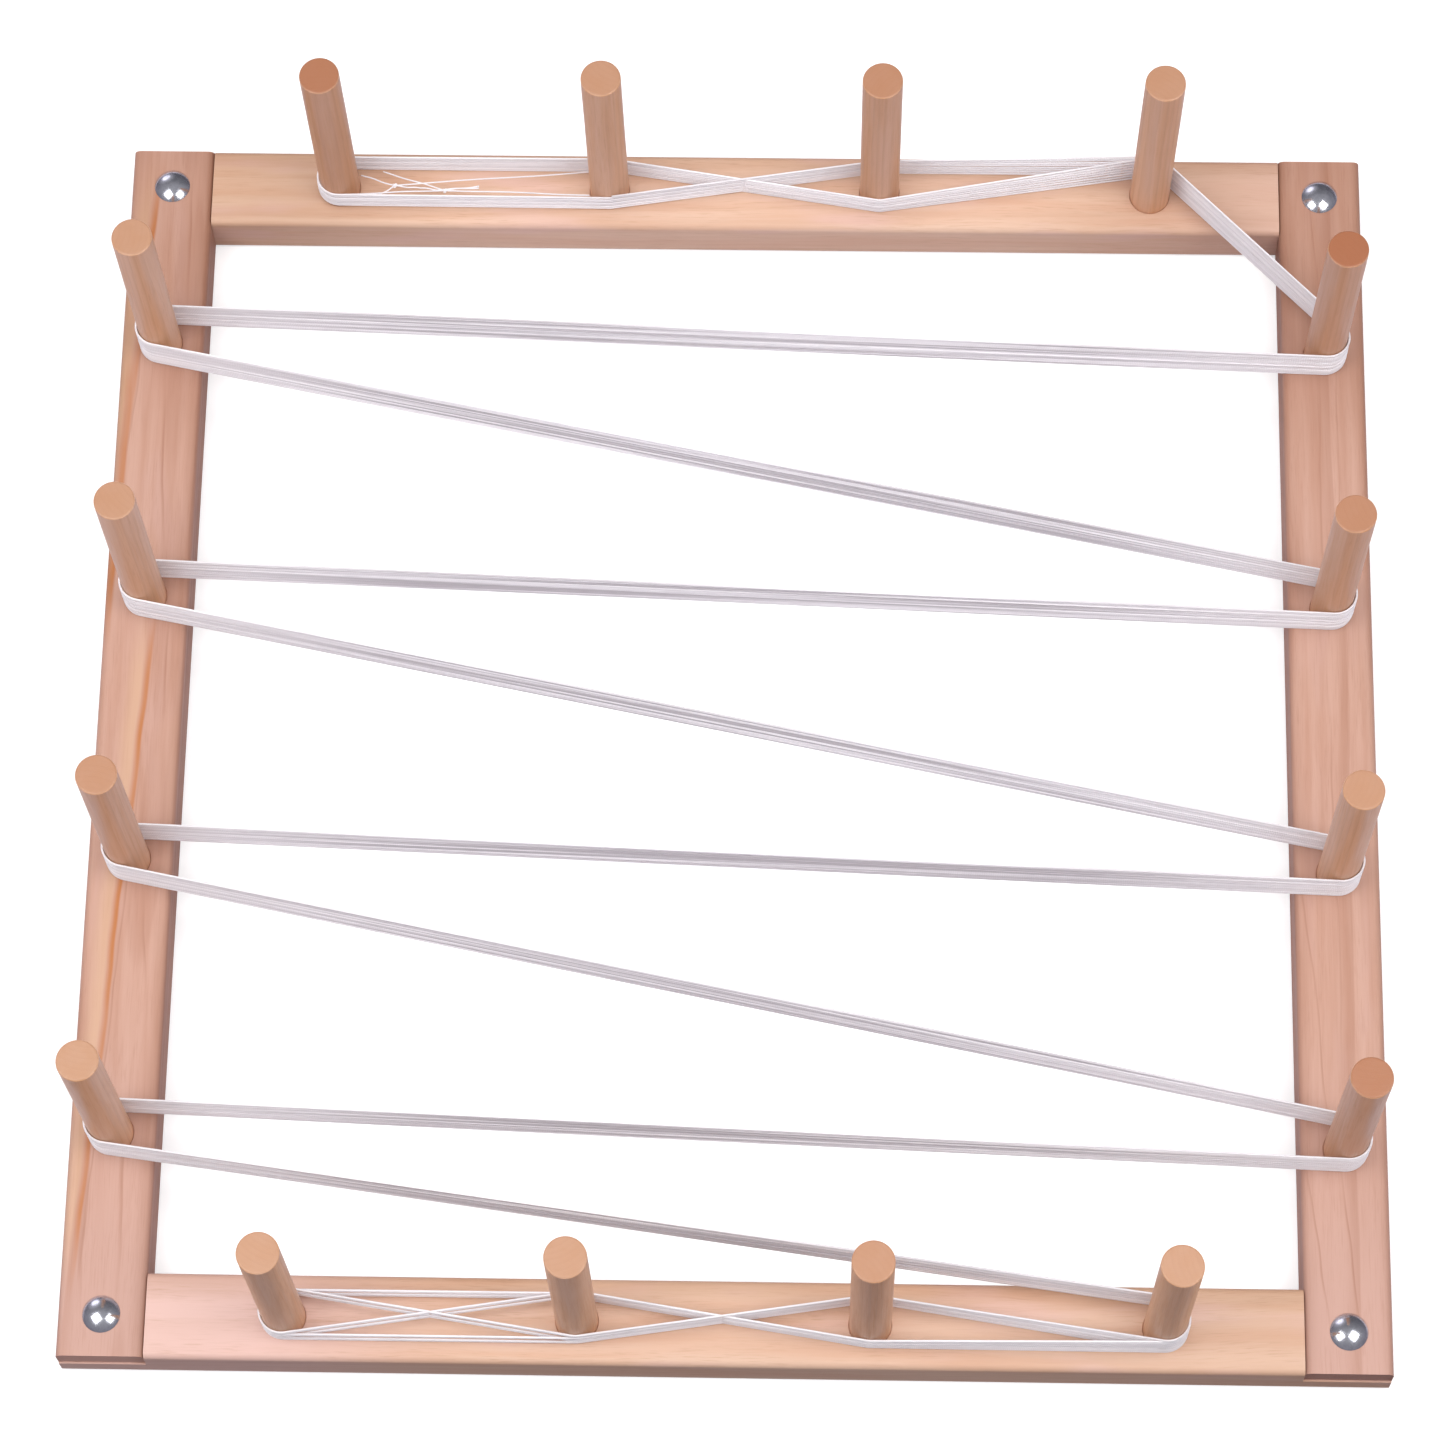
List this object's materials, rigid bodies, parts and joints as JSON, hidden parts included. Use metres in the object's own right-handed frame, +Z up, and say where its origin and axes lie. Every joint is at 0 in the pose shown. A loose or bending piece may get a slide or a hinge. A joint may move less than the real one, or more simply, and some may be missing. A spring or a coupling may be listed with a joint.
{
  "type": "warping frame",
  "caption": "Square wooden warping frame with push-fit pegs round its edge, bolted half-lap corners and a cotton warp wound across it, for preparing a loom's warp.",
  "frame": {"origin": "centre of the back face, which is the plane that the frame lies on", "axes": "+Z up along the pegs, +Y towards the top rail, +X towards the right side rail"},
  "size_m": [0.72, 0.724, 0.173],
  "materials": {
    "side_rail_wood": "planed, unvarnished, pinkish with brown grain",
    "end_rail_wood": "planed, unvarnished, pale with fine grain",
    "peg_wood": "turned dowel, sanded smooth",
    "plated_steel": "bright zinc plating",
    "cotton_yarn": "undyed twisted cotton"
  },
  "bodies": {
    "frame": {"side_rail_left": "side_rail_wood", "side_rail_right": "side_rail_wood", "end_rail_top": "end_rail_wood", "end_rail_bottom": "end_rail_wood", "carriage_bolts": "plated_steel", "washers": "plated_steel", "hex_nuts": "plated_steel", "warp_yarn": "cotton_yarn", "tie_yarn": "cotton_yarn"},
    "peg_top_1": {"peg_top_1": "peg_wood"},
    "peg_top_2": {"peg_top_2": "peg_wood"},
    "peg_top_3": {"peg_top_3": "peg_wood"},
    "peg_top_4": {"peg_top_4": "peg_wood"},
    "peg_bottom_1": {"peg_bottom_1": "peg_wood"},
    "peg_bottom_2": {"peg_bottom_2": "peg_wood"},
    "peg_bottom_3": {"peg_bottom_3": "peg_wood"},
    "peg_bottom_4": {"peg_bottom_4": "peg_wood"},
    "peg_left_1": {"peg_left_1": "peg_wood"},
    "peg_left_2": {"peg_left_2": "peg_wood"},
    "peg_left_3": {"peg_left_3": "peg_wood"},
    "peg_left_4": {"peg_left_4": "peg_wood"},
    "peg_right_1": {"peg_right_1": "peg_wood"},
    "peg_right_2": {"peg_right_2": "peg_wood"},
    "peg_right_3": {"peg_right_3": "peg_wood"},
    "peg_right_4": {"peg_right_4": "peg_wood"}
  },
  "joints": [
    {"name": "peg_top_1_pull", "type": "slide", "parent": "frame", "child": "peg_top_1", "axis": [0, 0, 1], "range_m": [0, 0.018]},
    {"name": "peg_top_2_pull", "type": "slide", "parent": "frame", "child": "peg_top_2", "axis": [0, 0, 1], "range_m": [0, 0.018]},
    {"name": "peg_top_3_pull", "type": "slide", "parent": "frame", "child": "peg_top_3", "axis": [0, 0, 1], "range_m": [0, 0.018]},
    {"name": "peg_top_4_pull", "type": "slide", "parent": "frame", "child": "peg_top_4", "axis": [0, 0, 1], "range_m": [0, 0.018]},
    {"name": "peg_bottom_1_pull", "type": "slide", "parent": "frame", "child": "peg_bottom_1", "axis": [0, 0, 1], "range_m": [0, 0.018]},
    {"name": "peg_bottom_2_pull", "type": "slide", "parent": "frame", "child": "peg_bottom_2", "axis": [0, 0, 1], "range_m": [0, 0.018]},
    {"name": "peg_bottom_3_pull", "type": "slide", "parent": "frame", "child": "peg_bottom_3", "axis": [0, 0, 1], "range_m": [0, 0.018]},
    {"name": "peg_bottom_4_pull", "type": "slide", "parent": "frame", "child": "peg_bottom_4", "axis": [0, 0, 1], "range_m": [0, 0.018]},
    {"name": "peg_left_1_pull", "type": "slide", "parent": "frame", "child": "peg_left_1", "axis": [0, 0, 1], "range_m": [0, 0.018]},
    {"name": "peg_left_2_pull", "type": "slide", "parent": "frame", "child": "peg_left_2", "axis": [0, 0, 1], "range_m": [0, 0.018]},
    {"name": "peg_left_3_pull", "type": "slide", "parent": "frame", "child": "peg_left_3", "axis": [0, 0, 1], "range_m": [0, 0.018]},
    {"name": "peg_left_4_pull", "type": "slide", "parent": "frame", "child": "peg_left_4", "axis": [0, 0, 1], "range_m": [0, 0.018]},
    {"name": "peg_right_1_pull", "type": "slide", "parent": "frame", "child": "peg_right_1", "axis": [0, 0, 1], "range_m": [0, 0.018]},
    {"name": "peg_right_2_pull", "type": "slide", "parent": "frame", "child": "peg_right_2", "axis": [0, 0, 1], "range_m": [0, 0.018]},
    {"name": "peg_right_3_pull", "type": "slide", "parent": "frame", "child": "peg_right_3", "axis": [0, 0, 1], "range_m": [0, 0.018]},
    {"name": "peg_right_4_pull", "type": "slide", "parent": "frame", "child": "peg_right_4", "axis": [0, 0, 1], "range_m": [0, 0.018]}
  ]
}
